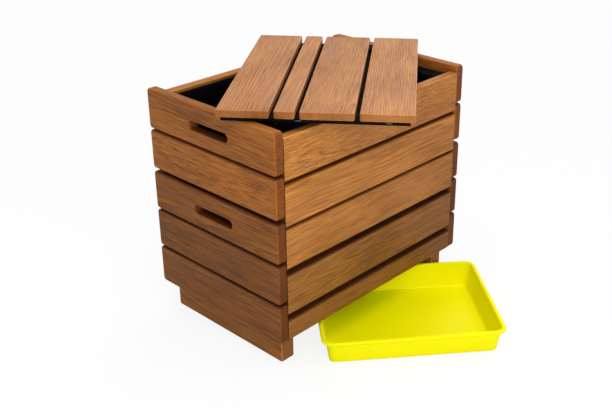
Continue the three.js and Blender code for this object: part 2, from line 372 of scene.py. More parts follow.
# How far the growth rings wander from round
RING_WANDER = 0.012
# Shares of the stain's red, green and blue in the darkest, lightest and rosiest wood
DARK_WOOD = (0.50, 0.42, 0.34)
LIGHT_WOOD = (1.34, 1.38, 1.20)
ROSY_WOOD = (0.88, 0.82, 1.10)


def wood_surface(
    nodes, rgb, timber, ends, tone, wear_and_highlight=0.0, painted_shade=None, streaks=1.0, sheen=1.0, end_grain=None
):
    """Stained timber. timber is a place in the log: along it, and across it from the pith."""
    wood = bpy.context.scene.wormery.wood
    _, across, deep = nodes.split(timber)
    wander, cloud, blush, streak, line, fibre, pores = (
        nodes.noise(timber, (along, beside, beside), detail)
        for along, beside, detail in LOG_NOISE.values()
    )
    radius = (across * across + deep * deep) ** 0.5 + wander * RING_WANDER
    ring = (radius / wood.ring_width).math("FRACT")
    late = ring ** 3.0 * (1.0 + streak * 2.2)
    grain = streak + line * 1.9 + fibre * 1.7
    even = 0.56 + grain * (wood.streak_depth * streaks) + cloud
    # Rubbed edges lean to the light wood, for wear and as painted highlight
    share = even + pores * 0.5 - late * wood.ring_depth + wear_and_highlight * 0.2
    stained = nodes.mix(share, shaded(rgb, *DARK_WOOD), shaded(rgb, *LIGHT_WOOD))
    rosy = nodes.mix(blush * 1.6 + 0.10, stained, shaded(rgb, *ROSY_WOOD))
    base = nodes.mix(ends, rosy, nodes.multiply(rosy, end_grain or wood.end_grain))
    # Painted shade between two rows and inside the hand slots
    if painted_shade is not None:
        base = nodes.mix(painted_shade, base, nodes.multiply(base, wood.painted_shade))
    # Rubbed edges lighter, for wear and as painted highlight
    light = tone * (1.0 + wear_and_highlight * 0.25)
    toned = nodes.node("ShaderNodeCombineXYZ", sockets={0: light, 1: light, 2: light})
    height = fibre * 0.5 + line * 0.5 + pores * 0.25 - late * 0.5
    nodes.surface(
        Base_Color=nodes.multiply(base, toned),
        Roughness=wood.roughness + streak * 0.2 + late * 0.05,
        Specular_IOR_Level=wood.sheen * sheen,
        Normal=nodes.bump(height, wood.relief),
    )


def board_finish(name, rgb, streaks=1.0, sheen=1.0, end_grain=None):
    """Wood of a board whose mesh carries its place in the log; streaks and sheen are shares."""
    material, nodes = finish_nodes(name)
    timber = nodes.attribute("timber", "Vector")
    ends, tone, wear_and_highlight, painted_shade = map(nodes.attribute, ("ends", "tone", "wear_and_highlight", "painted_shade"))
    wood_surface(nodes, rgb, timber, ends, tone, wear_and_highlight, painted_shade, streaks, sheen, end_grain)
    return material


def frame_finish(name, rgb, grain):
    """Wood of a timber of the frame, from the place of each point; grain is the axis along it."""
    material, nodes = finish_nodes(name)
    place = nodes.split(nodes.node("ShaderNodeTexCoord", output="Object"))
    facing = nodes.split(nodes.node("ShaderNodeTexCoord", output="Normal"))
    luck = nodes.node("ShaderNodeObjectInfo", output="Random")
    along, across, deep = (place[(grain + step) % 3] for step in range(3))
    timber = nodes.node(
        "ShaderNodeCombineXYZ",
        sockets={0: along + luck * 3.0, 1: across + luck * 0.4 - 0.2, 2: deep - luck * 0.3 + 0.4},
    )
    wood_surface(nodes, rgb, timber, facing[grain].math("ABSOLUTE"), 0.82 + luck * 0.26)
    return material


def cloth_finish(name):
    """Black woven ground sheet; the mesh carries the place on the flat sheet as cloth."""
    material, nodes = finish_nodes(name)
    cloth = bpy.context.scene.wormery.cloth
    place = nodes.attribute("cloth", "Vector")
    across, down, _ = nodes.split(place)
    warp = across / cloth.tape
    weft = down / cloth.tape
    over = ((warp.math("FLOOR") + weft.math("FLOOR")) / 2.0).math("FRACT") * 2.0
    warp_crown = (warp.math("FRACT") * math.pi).math("SINE")
    weft_crown = (weft.math("FRACT") * math.pi).math("SINE")
    crown = over * warp_crown + (1.0 - over) * weft_crown
    dust = nodes.noise(place, (14.0, 14.0, 14.0), 3.0)
    share = 0.35 + crown * 0.4 + dust * 0.7
    nodes.surface(
        Base_Color=nodes.mix(share, opaque(cloth.colour, 0.45), opaque(cloth.colour, 1.25)),
        Roughness=0.8 - crown * 0.2,
        Specular_IOR_Level=cloth.sheen,
        Normal=nodes.bump(crown, cloth.relief),
    )
    return material


def tray_finish(name):
    """Glossy coloured plastic, with the faint ripple and scuffs of a moulding."""
    material, nodes = finish_nodes(name)
    tray = bpy.context.scene.wormery.tray
    place = nodes.node("ShaderNodeTexCoord", output="Object")
    swell = nodes.noise(place, (7.0, 7.0, 7.0))
    skin = nodes.noise(place, (900.0, 900.0, 900.0))
    scuff = nodes.noise(place, (25.0, 90.0, 60.0), 6.0)
    share = 0.5 + swell * 0.6
    nodes.surface(
        Base_Color=nodes.mix(share, opaque(tray.colour, 0.94), opaque(tray.colour, 1.05)),
        Roughness=0.42 + scuff * 0.16,
        Specular_IOR_Level=tray.sheen,
        # Painted light: emission standing in for the plastic's fluorescence
        Emission_Color=opaque(tray.glow),
        Emission_Strength=tray.painted_glow_strength,
        Normal=nodes.bump(swell * 2.0 + skin * 0.06, 0.0004),
    )
    return material


def metal_finish(name, rgb):
    """Drawn steel of staples and screws, bare or blackened."""
    material, nodes = finish_nodes(name)
    place = nodes.node("ShaderNodeTexCoord", output="Object")
    bloom = nodes.noise(place, (900.0, 900.0, 900.0), 3.0)
    nodes.surface(
        Base_Color=nodes.mix(0.6 + bloom, opaque(rgb, 0.6), opaque(rgb)),
        Metallic=0.9,
        Roughness=0.38 + bloom * 0.3,
    )
    return material


def rounded_outline(half_a, half_b, radius, steps=CORNER_STEPS):
    """(a, b, direction) round a rectangle with round corners, anticlockwise."""
    outline = []
    for corner, (sign_a, sign_b) in enumerate(((1, 1), (-1, 1), (-1, -1), (1, -1))):
        for step in range(steps + 1):
            way = (corner + step / steps) * TURN / 4
            a = sign_a * (half_a - radius) + radius * math.cos(way)
            b = sign_b * (half_b - radius) + radius * math.sin(way)
            outline.append((a, b, way))
    return outline


def edge_profile(thickness, radius):
    """(inset, level, tilt) over a rounded side, from the lower face up; tilt is 0 on a face."""
    lower = []
    for step in range(EDGE_STEPS + 1):
        way = step / EDGE_STEPS * TURN / 4
        level = radius * (1 - math.cos(way)) - thickness / 2
        lower.append((radius * (1 - math.sin(way)), level, math.sin(way)))
    return lower + [(inset, -level, tilt) for inset, level, tilt in reversed(lower)]


# Each point of a board's rings is (place, end grain, rubbed, painted shade). The last three are
# shares, and a rounding is rubbed most where it faces halfway between two faces. A rubbed
# rounding is lighter, for wear and as painted highlight; the painted shade darkens hand slots.


def rounded_rings(size, edge, corner):
    """Rings of a board with every edge rounded, from its lower face to its upper one."""
    rings = []
    for inset, level, tilt in edge_profile(size[2], edge):
        outline = rounded_outline(size[0] / 2 - inset, size[1] / 2 - inset, corner - inset)
        # Rubbed share: lighter for wear and as painted highlight
        wear_and_highlight = 4 * tilt**2 * (1 - tilt**2)
        rings.append([((a, b, level), abs(math.cos(w)) * tilt, wear_and_highlight, 0.0) for a, b, w in outline])
    return rings


def slot_rings(thickness, slot_size, shift, edge):
    """Rings of a hand slot, from the upper face down to the lower one."""
    rings = []
    for inset, level, tilt in reversed(edge_profile(thickness, edge)):
        half_a, half_b = (side / 2 + inset for side in slot_size)
        outline = rounded_outline(half_a, half_b, half_b)
        # Painted shade on the slot's inner walls, most on its long walls
        deep = 0.8 * tilt
        rings.append(
            [((a, b + shift, level), 0.0, 0.0, abs(math.sin(way)) * deep) for a, b, way in outline]
        )
    return rings


def sawn_rings(size, edge, arris):
    """Rings of a board with rounded long edges and sawn ends, from one end to the other."""
    half = size[0] / 2
    stops = (
        (arris, -half, 1.0), (0.0, arris - half, 0.0), (0.0, half - arris, 0.0), (arris, half, 1.0)
    )
    rings = []
    for inset, level, ends in stops:
        outline = rounded_outline(size[1] / 2 - inset, size[2] / 2 - inset, edge - inset)
        # The third share lightens the rounding, for wear and as painted highlight
        rings.append([((level, a, b), ends, math.sin(2 * w) ** 2, 0.0) for a, b, w in outline])
    return rings


def ring_faces(rings, closed=False):
    """Faces through rings of equal count: joined into a loop, or capped at both ends."""
    count = len(rings[0])
    faces = []
    for ring in range(len(rings) if closed else len(rings) - 1):
        start = ring * count
        after = (ring + 1) % len(rings) * count
        for step in range(count):
            forward = (step + 1) % count
            faces.append((start + step, start + forward, after + forward, after + step))
    if not closed:
        faces.append(tuple(reversed(range(count))))
        faces.append(tuple(range((len(rings) - 1) * count, len(rings) * count)))
    return faces


def ring_mesh(name, rings, closed=False):
    """A mesh through rings of places."""
    mesh = bpy.data.meshes.new(name)
    mesh.from_pydata([place for ring in rings for place in ring], [], ring_faces(rings, closed))
    return mesh


def set_numbers(mesh, name, values):
    layer = mesh.attributes.new(name, "FLOAT", "POINT")
    layer.data.foreach_set("value", values)


def set_places(mesh, name, places):
    layer = mesh.attributes.new(name, "FLOAT_VECTOR", "POINT")
    layer.data.foreach_set("vector", [number for place in places for number in place])


def add_object(name, mesh, material, placement=None):
    """Links a mesh as an object at the origin, its points in place, smooth, with one material."""
    if placement is not None:
        mesh.transform(placement)
    mesh.shade_smooth()
    mesh.materials.append(material)
    piece = bpy.data.objects.new(name, mesh)
    bpy.context.scene.collection.objects.link(piece)
    return piece


def join_points(mesh):
    """Merges points that lie on each other."""
    work = bmesh.new()
    work.from_mesh(mesh)
    bmesh.ops.remove_doubles(work, verts=work.verts, dist=SAME_PLACE)
    work.to_mesh(mesh)
    work.free()


def take_place(piece, node, body):
    """piece stands for a CAD node, which it hides, and rides on its body."""
    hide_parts(node)
    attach(piece, body)


def node_middle(node):
    """Middle and size of a node's box."""
    low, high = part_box(node)
    return (low + high) / 2, high - low


def axes_at(middle, along, up, out):
    """Placement with its own X, Y and Z on the three given directions."""
    matrix = Matrix((along, up, out)).transposed().to_4x4()
    matrix.translation = middle
    return matrix


def turned_at(x, y, z, turn):
    """Placement at a point, turned about the upright."""
    return Matrix.Translation((x, y, z)) @ Matrix.Rotation(turn, 4, "Z")


def turned_size(node, turn, radius=0.0):
    """Length and width of a turned rectangle with round corners, from its node's box."""
    _, size = node_middle(node)
    cos, sin = math.cos(abs(turn)), math.sin(abs(turn))
    wide, deep = size[0] - 2 * radius, size[1] - 2 * radius
    spread = cos * cos - sin * sin
    reach = (wide * cos - deep * sin) / spread + 2 * radius
    return reach, (deep * cos - wide * sin) / spread + 2 * radius


# Boards that show arched grain: pith across, pith deep, lean across, lean deep
CUTS = {
    "upper_long_slat_front_2": (0.012, -0.030, 0.010, 0.075),
    "upper_end_slat_left_1": (0.006, 0.030, -0.020, 0.050),
    "upper_long_slat_back_1": (0.000, 0.034, 0.015, -0.060),
    "lower_end_slat_right_2": (-0.010, -0.036, 0.010, 0.070),
    "lower_long_slat_front_2": (-0.020, -0.046, 0.010, 0.030),
    "lid_slat_3": (0.050, 0.020, 0.010, 0.030),
}

# How light each row of slats is, from the lowest up, and each lid slat, by its number
END_TONES = {"lower": (0.62, 0.55, 0.70), "upper": (1.0, 0.94)}
LONG_TONES = {"lower": (0.58, 0.60, 0.88), "upper": (1.0, 1.0)}
LID_TONES = (1.0, 0.95, 0.98, 1.06)

# How light the plinth boards are, and how much of their end grain shows
PLINTH_TONE = 0.8
PLINTH_ENDS = 0.2
# Share of the wood's sheen on the battens
BATTEN_SHEEN = 0.1


def log_places(name, points, width, cut):
    """Places in the log of a board's points. A board without a cut of its own draws one."""
    luck = random.Random(name)
    side = luck.choice((-1, 1))
    drawn = (
        luck.uniform(0.35, 1.3) * side * width,
        luck.choice((-1, 1)) * luck.uniform(0.03, 0.09),
        luck.uniform(-0.03, 0.03),
        luck.uniform(-0.03, 0.03),
    )
    across, deep, lean_across, lean_deep = cut or drawn
    shift = luck.uniform(0, 40)
    return [
        (x + shift, y + across + lean_across * x, z + deep + lean_deep * x) for x, y, z in points
    ]


def row_shade_share(height, half, edge, sides):
    """How far a point is round an edge that faces another row, for the painted shade there: 0 on
    the face, 1 in the groove.
    """
    if math.copysign(1, height) not in sides:
        return 0.0
    return max(0.0, min(1.0, (abs(height) - half + edge) / (0.4 * edge)))


def neighbours(module, row):
    """The sides of a row with another row: -1 below it, 1 above it."""
    outermost = {-1: ("lower", 1), 1: ("upper", MODULES["upper"])}
    return [side for side, last in outermost.items() if last != (module, row)]


def make_board(
    node, word, rings, size, placement, material, tone=1.0, closed=False, ends=1.0, sides=()
):
    """The board of a node, with its place in the log, end grain, rubbed edges lighter for wear and
    as painted highlight, and painted shade between rows and in slots.
    """
    name = f"{node}_{word}"
    edge = bpy.context.scene.wormery.boards.slat_edge
    points = [point for ring in rings for point in ring]
    places, end_shares, wear_and_highlight_shares, slot_shade_shares = zip(*points)
    mesh = ring_mesh(name, [[point[0] for point in ring] for ring in rings], closed)
    # Painted shade on the roundings that face another row
    row_shades = [row_shade_share(place[1], size[1] / 2, edge, sides) for place in places]
    set_places(mesh, "timber", log_places(name, places, size[1], CUTS.get(node)))
    set_numbers(mesh, "ends", [share * ends for share in end_shares])
    set_numbers(mesh, "wear_and_highlight", wear_and_highlight_shares)
    set_numbers(mesh, "tone", [tone] * len(points))
    set_numbers(mesh, "painted_shade", list(map(max, slot_shade_shares, row_shades)))
    join_points(mesh)
    board = add_object(name, mesh, material, placement)
    board.modifiers.new("Even shading", "WEIGHTED_NORMAL")
    return board


def slats(kind, places):
    """(module, row, node) of every slat of a kind."""
    for module, rows in MODULES.items():
        for place in places:
            for row in range(1, rows + 1):
                yield module, row, f"{module}_{kind}_slat_{place}_{row}"


class WORMERY_OT_end_slats(bpy.types.Operator):
    """Makes the ten end slats, four of them with a hand slot"""

    bl_idname = "wormery.end_slats"
    bl_label = "End slats"
    bl_options = {"REGISTER", "UNDO"}

    def execute(self, context):
        boards = context.scene.wormery.boards
        wood = context.scene.wormery.wood
        # The end slats' darker stain carries painted shade
        material = finish("end_slat_wood", board_finish, wood.end_stain_and_shade, wood.end_streaks)
        for module, row, node in slats("end", ENDS):
            middle, box = node_middle(node)
            size = (box[1], box[2], box[0])
            rings = rounded_rings(size, boards.slat_edge, boards.slat_corner)
            slotted = row == MODULES[module]
            if slotted:
                slot_size = (boards.slot_length, boards.slot_height)
                shift = (boards.slot_level - 0.5) * size[1]
                rings += slot_rings(size[2], slot_size, shift, boards.slot_edge)
            placement = axes_at(middle, (0, 1, 0), (0, 0, 1), (1, 0, 0))
            tone = END_TONES[module][row - 1]
            sides = neighbours(module, row)
            board = make_board(
                node, "board", rings, size, placement, material, tone, slotted, sides=sides
            )
            take_place(board, node, f"{module}_module")
        return {"FINISHED"}


class WORMERY_OT_long_slats(bpy.types.Operator):
    """Makes the ten long slats"""

    bl_idname = "wormery.long_slats"
    bl_label = "Long slats"
    bl_options = {"REGISTER", "UNDO"}

    def execute(self, context):
        boards = context.scene.wormery.boards
        wood = context.scene.wormery.wood
        material = finish("long_slat_wood", board_finish, wood.long_colour, wood.long_streaks)
        for module, row, node in slats("long", SIDES):
            middle, box = node_middle(node)
            size = (box[0], box[2], box[1])
            rings = sawn_rings(size, boards.slat_edge, boards.arris)
            placement = axes_at(middle, (1, 0, 0), (0, 0, 1), (0, -1, 0))
            tone = LONG_TONES[module][row - 1]
            sides = neighbours(module, row)
            board = make_board(node, "board", rings, size, placement, material, tone, sides=sides)
            take_place(board, node, f"{module}_module")
        return {"FINISHED"}


class WORMERY_OT_plinth(bpy.types.Operator):
    """Makes the two plinth boards that stand on the ground"""

    bl_idname = "wormery.plinth"
    bl_label = "Plinth boards"
    bl_options = {"REGISTER", "UNDO"}

    def execute(self, context):
        boards = context.scene.wormery.boards
        wood = context.scene.wormery.wood
        material = finish("plinth_wood", board_finish, wood.plinth_colour)
        for end in ENDS:
            node = f"plinth_board_{end}"
            middle, box = node_middle(node)
            size = (box[1], box[2], box[0])
            rings = rounded_rings(size, boards.plinth_edge, boards.plinth_corner)
            placement = axes_at(middle, (0, 1, 0), (0, 0, 1), (1, 0, 0))
            board = make_board(
                node, "timber", rings, size, placement, material, PLINTH_TONE, ends=PLINTH_ENDS
            )
            take_place(board, node, "lower_module")
        return {"FINISHED"}


def dress_timber(node, material, arris):
    """Gives a timber of the frame its wood, and takes off its arrises."""
    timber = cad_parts[node]
    for holder in timber.material_slots:
        holder.material = material
    if not timber.material_slots:
        timber.data.materials.append(material)
    weld = timber.modifiers.new("Joined faces", "WELD")
    weld.merge_threshold = SAME_PLACE
    bevel = timber.modifiers.new("Arris", "BEVEL")
    bevel.width = 2 * arris
    bevel.segments = 2
    bevel.limit_method = "ANGLE"
    bevel.harden_normals = True


class WORMERY_OT_frame_timbers(bpy.types.Operator):
    """Finishes the posts, ledgers and floor slats, with their arrises taken off"""

    bl_idname = "wormery.frame_timbers"
    bl_label = "Frame timbers"
    bl_options = {"REGISTER", "UNDO"}

    def execute(self, context):
        arris = context.scene.wormery.boards.arris
        wood = context.scene.wormery.wood
        upright = finish("frame_wood_upright", frame_finish, wood.frame_colour, 2)
        lengthwise = finish("frame_wood_lengthwise", frame_finish, wood.frame_colour, 0)
        # Painted shade: the slatted floors are near black
        crosswise = finish("floor_wood", frame_finish, wood.floor_colour, 1)
        for module in MODULES:
            for side in SIDES:
                dress_timber(f"{module}_ledger_{side}", lengthwise, arris)
                for end in ENDS:
                    dress_timber(f"{module}_post_{end}_{side}", upright, arris)
            for slat in range(1, FLOOR_SLATS + 1):
                dress_timber(f"{module}_floor_slat_{slat}", crosswise, arris)
        return {"FINISHED"}


class WORMERY_OT_lid_slats(bpy.types.Operator):
    """Makes the four lid slats and the two battens under them"""

    bl_idname = "wormery.lid_slats"
    bl_label = "Lid slats and battens"
    bl_options = {"REGISTER", "UNDO"}

    def execute(self, context):
        boards = context.scene.wormery.boards
        wood = context.scene.wormery.wood
        turn = boards.lid_turn
        along = Vector((math.cos(turn), math.sin(turn), 0))
        across = Vector((-math.sin(turn), math.cos(turn), 0))
        # The lid's paler, bluer stain is partly painted reflection
        material = finish(
            "lid_wood", board_finish, wood.lid_stain_and_sheen, wood.lid_streaks, 1.0, wood.lid_end_grain
        )
        for slat, tone in enumerate(LID_TONES, 1):
            node = f"lid_slat_{slat}"
            middle, box = node_middle(node)
            size = (*turned_size(node, turn, boards.lid_corner), box[2])
            rings = rounded_rings(size, boards.lid_edge, boards.lid_corner)
            placement = axes_at(middle, along, across, (0, 0, 1))
            board = make_board(node, "board", rings, size, placement, material, tone)
            take_place(board, node, "lid")
        material = finish("batten_wood", board_finish, wood.batten_colour, 1.0, BATTEN_SHEEN)
        for end in ("near", "far"):
            node = f"lid_batten_{end}"
            middle, box = node_middle(node)
            width, reach = turned_size(node, turn)
            size = (reach, width, box[2])
            rings = sawn_rings(size, 2 * boards.arris, boards.arris)
            placement = axes_at(middle, across, -along, (0, 0, 1))
            board = make_board(node, "timber", rings, size, placement, material)
            take_place(board, node, "lid")
        return {"FINISHED"}


def make_sheet(name, columns, material, thickness, placement=None):
    """A sheet from its columns of (place, place on the flat cloth), each joined to the next."""
    mesh = bpy.data.meshes.new(name)
    starts = []
    places = []
    for column in columns:
        starts.append(len(places))
        places.extend(column)
    faces = []
    for index in range(len(columns) - 1):
        left, right = starts[index], starts[index + 1]
        for step in range(min(len(columns[index]), len(columns[index + 1])) - 1):
            faces.append((left + step, right + step, right + step + 1, left + step + 1))
    mesh.from_pydata([place for place, _ in places], [], faces)
    set_places(mesh, "cloth", [(*flat, 0.0) for _, flat in places])
    join_points(mesh)
    sheet = add_object(name, mesh, material, placement)
    solid = sheet.modifiers.new("Thickness", "SOLIDIFY")
    solid.thickness = thickness
    solid.offset = 0.0
    return sheet


# Distance between a liner's columns, and how many steps they have up a wall and over a flap
LINER_SPACING = 0.008
WALL_STEPS = 14
FLAP_STEPS = 6
# How far a liner's flap hangs through
FLAP_SAG = 0.0008


def liner_columns(low, high, flap_low, flap_high, flap_reach, ripple):
    """Columns of a liner, round its four walls; those of the end walls run on over the flaps."""
    turns = [(low[0], low[1]), (high[0], low[1]), (high[0], high[1]), (low[0], high[1])]
    columns = []
    run = 0.0
    for wall in range(4):
        start, stop = Vector(turns[wall]), Vector(turns[(wall + 1) % 4])
        count = max(2, round((stop - start).length / LINER_SPACING))
        for index in range(count + 1):
            share = index / count
            spot = start.lerp(stop, share)
            here = run + share * (stop - start).length
            columns.append(wall_column(wall, spot, here, share, low, high, ripple))
            if wall in (1, 3) and flap_low <= spot.y <= flap_high:
                columns[-1] += flap_column(wall, spot, here, low, high, flap_reach)
        run += (stop - start).length
    return columns


def wall_column(wall, spot, here, share, low, high, ripple):
    """One column of a liner's wall, from its foot up; it bellies a little towards the inside."""
    inward = Vector(((0, 1), (-1, 0), (0, -1), (1, 0))[wall])
    column = []
    for step in range(WALL_STEPS + 1):
        rise = step / WALL_STEPS
        height = low[2] + (high[2] - low[2]) * rise
        fold = 0.5 + 0.5 * noise.noise(Vector((here * 16.0, height * 5.0, low[2] * 50.0)))
        hold = math.sin(math.pi * share) ** 0.3 * math.sin(math.pi * min(rise * 1.02, 1.0)) ** 0.5
        place = spot + inward * (ripple * fold * hold * 2.0)
        column.append(((place.x, place.y, height), (here, height - low[2])))
    return column


def flap_column(wall, spot, here, low, high, reach):
    """The part of a column that lies out to the end slat, level with the liner's top."""
    outward = 1 if wall == 1 else -1
    column = []
    for step in range(1, FLAP_STEPS + 1):
        out = step / FLAP_STEPS
        fold = 1 + noise.noise(Vector((here * 25.0, out, 3.0)))
        sag = FLAP_SAG * math.sin(math.pi * out) * fold
        x = spot.x + outward * out * reach
        column.append(((x, spot.y, high[2] - sag), (here, high[2] - low[2] + out * reach)))
    return column


class WORMERY_OT_liners(bpy.types.Operator):
    """Hangs the black woven liner of each module"""

    bl_idname = "wormery.liners"
    bl_label = "Liners"
    bl_options = {"REGISTER", "UNDO"}

    def execute(self, context):
        cloth = context.scene.wormery.cloth
        material = finish("black_woven_sheet", cloth_finish)
        for module in MODULES:
            node = f"{module}_liner"
            low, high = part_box(node)
            _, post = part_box(f"{module}_post_left_front")
            back_post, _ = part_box(f"{module}_post_right_back")
            half = cloth.thickness / 2
            wall_low = (post.x + FIT_GAP + half, low.y + half, low.z)
            wall_high = (back_post.x - FIT_GAP - half, high.y - half, high.z - half)
            reach = high.x - half - wall_high[0]
            over_posts = post.z < high.z
            flap_low = wall_low[1] if over_posts else post.y + FIT_GAP
            flap_high = wall_high[1] if over_posts else back_post.y - FIT_GAP
            columns = liner_columns(wall_low, wall_high, flap_low, flap_high, reach, cloth.ripple)
            sheet = make_sheet(f"{module}_liner_sheet", columns, material, cloth.thickness)
            take_place(sheet, node, f"{module}_module")
            width = 2 * (wall_high[0] - wall_low[0] + wall_high[1] - wall_low[1])
            height = wall_high[2] - wall_low[2]
            flaps = 2 * reach * (flap_high - flap_low)
            height + reach
            width * height + flaps
        return {"FINISHED"}


# Radius where the lid's sheet turns up, and its steps along the lid and across it
LID_SHEET_BEND = 0.0015
LID_SHEET_STEPS = 66
LID_SHEET_ROWS = 46
# Distance from its ends over which the lid's sheet lies flat
LID_SHEET_HELD = 0.045


def lid_sheet_profile(reach, top, half):
    """(x, level) along the lid's sheet, turned up over both ends."""
    bend = LID_SHEET_BEND
    end = [(-reach, top), (-reach, 0.5 * (top + bend)), (-reach, half + bend)]
    end.append((-reach + 0.3 * bend, half + 0.3 * bend))
    flat = 2 * reach - 2 * bend
    steps = range(LID_SHEET_STEPS + 1)
    under = [(bend - reach + flat * step / LID_SHEET_STEPS, half) for step in steps]
    return end + under + [(-x, level) for x, level in reversed(end)]


class WORMERY_OT_lid_sheet(bpy.types.Operator):
    """Stretches the black woven sheet under the lid, turned up over its ends"""

    bl_idname = "wormery.lid_sheet"
    bl_label = "Lid sheet"
    bl_options = {"REGISTER", "UNDO"}

    def execute(self, context):
        cloth = context.scene.wormery.cloth
        turn = context.scene.wormery.boards.lid_turn
        middle, box = node_middle("lid_sheet")
        size = turned_size("lid_sheet", turn)
        half = cloth.thickness / 2
        reach, side = size[0] / 2 - half, size[1] / 2
        profile = lid_sheet_profile(reach, box[2] - half, half)
        columns = []
        for row in range(LID_SHEET_ROWS + 1):
            y = side * (2 * row / LID_SHEET_ROWS - 1)
            column = []
            run = 0.0
            for index, (x, level) in enumerate(profile):
                if index:
                    run += math.dist(profile[index - 1], profile[index])
                free = max(0.0, 1 - (abs(x) / (reach - LID_SHEET_HELD)) ** 4)
                fold = 0.5 + 0.5 * noise.noise(Vector((x * 9.0, y * 13.0, 4.0)))
                column.append(((x, y, level + free * fold * cloth.swell), (run, y + side)))
            columns.append(column)
        placement = turned_at(middle.x, middle.y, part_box("lid_sheet")[0].z, turn)
        material = finish("black_woven_sheet", cloth_finish)
        sheet = make_sheet("lid_sheet_cloth", columns, material, cloth.thickness, placement)
        take_place(sheet, "lid_sheet", "lid")
        2 * side
        return {"FINISHED"}


def arc(centre, radius, start, stop, steps):
    """Points of a bend, as (inset, level); the angles are in degrees, 0 towards the inside."""
    points = []
    for step in range(steps + 1):
        way = math.radians(start + (stop - start) * step / steps)
        points.append((centre[0] + radius * math.cos(way), centre[1] + radius * math.sin(way)))
    return points


def tray_profile(tray, height):
    """(inset, level) up the tray's wall, round its rolled rim and down the inside."""
    wall_top = height - tray.rim_height
    foot_inset = tray.rim_width + tray.taper
    roll = tray.rim_height / 2
    inner = tray.rim_width + tray.wall
    inner_foot = (foot_inset + tray.wall + tray.inner_foot, tray.wall + tray.inner_foot)
    bend, lip = 0.0012, 0.0016
    return [
        *arc((foot_inset + tray.foot, tray.foot), tray.foot, 270, 190, 5),
        (tray.rim_width + bend, wall_top - bend),
        (tray.rim_width, wall_top),
        (lip, wall_top),
        *arc((roll, height - roll), roll, 205, 90, 8),
        *arc((inner - roll, height - roll), roll, 90, -10, 7),
        *arc(inner_foot, tray.inner_foot, 190, 270, 6),
    ]


class WORMERY_OT_tray(bpy.types.Operator):
    """Moulds the tray, with its rolled rim"""

    bl_idname = "wormery.tray"
    bl_label = "Tray"
    bl_options = {"REGISTER", "UNDO"}

    def execute(self, context):
        tray = context.scene.wormery.tray
        middle, box = node_middle("tray")
        size = turned_size("tray", tray.turn, tray.rim_corner)
        shrink = (tray.rim_corner - tray.floor_corner) / (tray.rim_width + tray.taper + tray.foot)
        least_corner = 0.004
        rings = []
        for inset, level in tray_profile(tray, box[2]):
            corner = max(least_corner, tray.rim_corner - inset * shrink)
            half_a, half_b = (side / 2 - inset for side in size)
            outline = rounded_outline(half_a, half_b, corner, TRAY_CORNER_STEPS)
            rings.append([(a, b, level) for a, b, _ in outline])
        placement = turned_at(middle.x, middle.y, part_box("tray")[0].z, tray.turn)
        material = finish("tray_plastic", tray_finish)
        shell = add_object("tray_shell", ring_mesh("tray_shell", rings), material, placement)
        shell.modifiers.new("Even shading", "WEIGHTED_NORMAL")
        take_place(shell, "tray", "tray")
        return {"FINISHED"}


# Length of a staple's legs
STAPLE_LEG = 0.0022
# Places of the staples across the lid and along a liner, and how far they lie below its top
LID_STAPLES = (-0.143, 0.033)
LINER_STAPLES = (-0.210, -0.105, 0.0, 0.105, 0.210)
LINER_STAPLE_DROP = 0.009
# How deep a lid staple sits in the sheet, and how far a screw's head stands out of its slat
STAPLE_SINK = 0.0001
SCREW_RISE = 0.0001
# How far each screw is turned on from the one before, in radians
SCREW_TURN = 0.7
# Reach and half the width of a screw's cross, as shares of the head's radius
CROSS_REACH = 0.45
CROSS_ARM = 0.13


def staple_mesh(width, wire):
    """A staple: its crown on X, its legs down into -Z."""
    half = width / 2
    end = [(-half, -STAPLE_LEG), (-half, -0.2 * STAPLE_LEG)]
    end += [(-0.86 * half, 0.35 * wire), (-0.4 * half, 0.5 * wire)]
    line = end + [(0.0, 0.55 * wire)] + [(-x, z) for x, z in reversed(end)]
    rings = []
    for index, (x, z) in enumerate(line):
        before, after = line[max(index - 1, 0)], line[min(index + 1, len(line) - 1)]
        run = Vector((after[0] - before[0], after[1] - before[1])).normalized()
        ring = []
        # Round the other way, so that the faces look outwards
        for step in range(WIRE_STEPS, 0, -1):
            way = step / WIRE_STEPS * TURN
            out, side = math.cos(way) * wire / 2, math.sin(way) * wire / 2
            ring.append((x - run.y * out, side, z + run.x * out))
        rings.append(ring)
    return ring_mesh("staple", rings)


def screw_mesh(radius):
    """The head of a countersunk screw, with a cross recess; its face is at zero."""
    ways = [step / SCREW_STEPS * TURN for step in range(SCREW_STEPS)]
    rings = []
    for reach, level in ((0.5, -0.6), (1.0, -0.05), (0.97, 0.0), (0.55, 0.02)):
        rings.append([(reach * math.cos(way), reach * math.sin(way), level) for way in ways])
    for share, level in ((1.0, 0.02), (0.7, -0.28)):
        ring = []
        for way in ways:
            beside = min(abs(math.cos(way)), abs(math.sin(way)))
            reach = min(CROSS_REACH, CROSS_ARM / max(beside, SAME_PLACE)) * share
            ring.append((reach * math.cos(way), reach * math.sin(way), level))
        rings.append(ring)
    mesh = ring_mesh("screw_head", rings)
    mesh.transform(Matrix.Scale(radius, 4))
    return mesh


def fasten(name, mesh, metal, placement, body):
    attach(add_object(name, mesh, metal, placement), body)


def lid_staples(settings, metal):
    cloth = settings.cloth
    turn = settings.boards.lid_turn
    middle, _ = node_middle("lid_sheet")
    low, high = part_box("lid_sheet")
    reach = turned_size("lid_sheet", turn)[0] / 2 - STAPLE_SINK
    lid_place = turned_at(middle.x, middle.y, low.z, turn)
    level = (high.z - low.z) * 0.55
    for end, sign in (("near", -1), ("far", 1)):
        for index, y in enumerate(LID_STAPLES, 1):
            spot = axes_at((sign * reach, y, level), (0, 1, 0), (0, 0, sign), (sign, 0, 0))
            staple = staple_mesh(cloth.staple, cloth.wire)
            fasten(f"lid_{end}_staple_{index}", staple, metal, lid_place @ spot, "lid")


